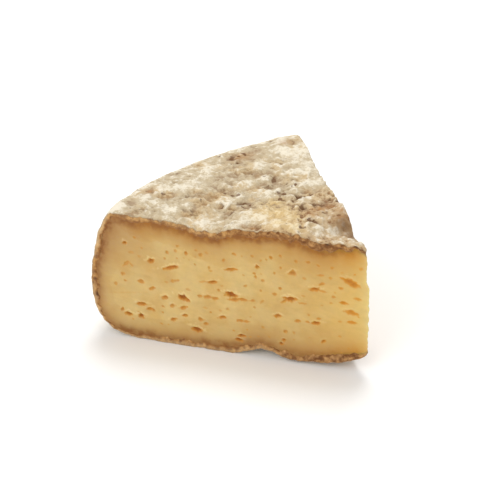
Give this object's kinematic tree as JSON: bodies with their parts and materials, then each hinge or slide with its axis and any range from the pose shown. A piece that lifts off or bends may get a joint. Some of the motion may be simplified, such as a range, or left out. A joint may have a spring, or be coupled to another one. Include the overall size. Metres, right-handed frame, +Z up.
{
  "type": "tomme de savoie cheese wedge",
  "caption": "Wedge cut from a small pressed cheese wheel: crusty natural rind above, below and round the heel, two flat cuts with small flattened eyes.",
  "frame": {"origin": "middle of the wedge's box, on the surface that it stands on", "axes": "+X from the heel to the tip along the first cut, which faces -Y; +Z up"},
  "size_m": [0.1, 0.0866, 0.0518],
  "materials": {
    "tomme_paste": "semi-soft pressed cheese, cut with a knife, slightly moist and faintly translucent",
    "tomme_rind": "dry, crusty, mould-ripened rind, matt, cream and grey-beige over tan"
  },
  "bodies": {
    "root": {"tomme_wedge": "tomme_paste"}
  },
  "joints": []
}
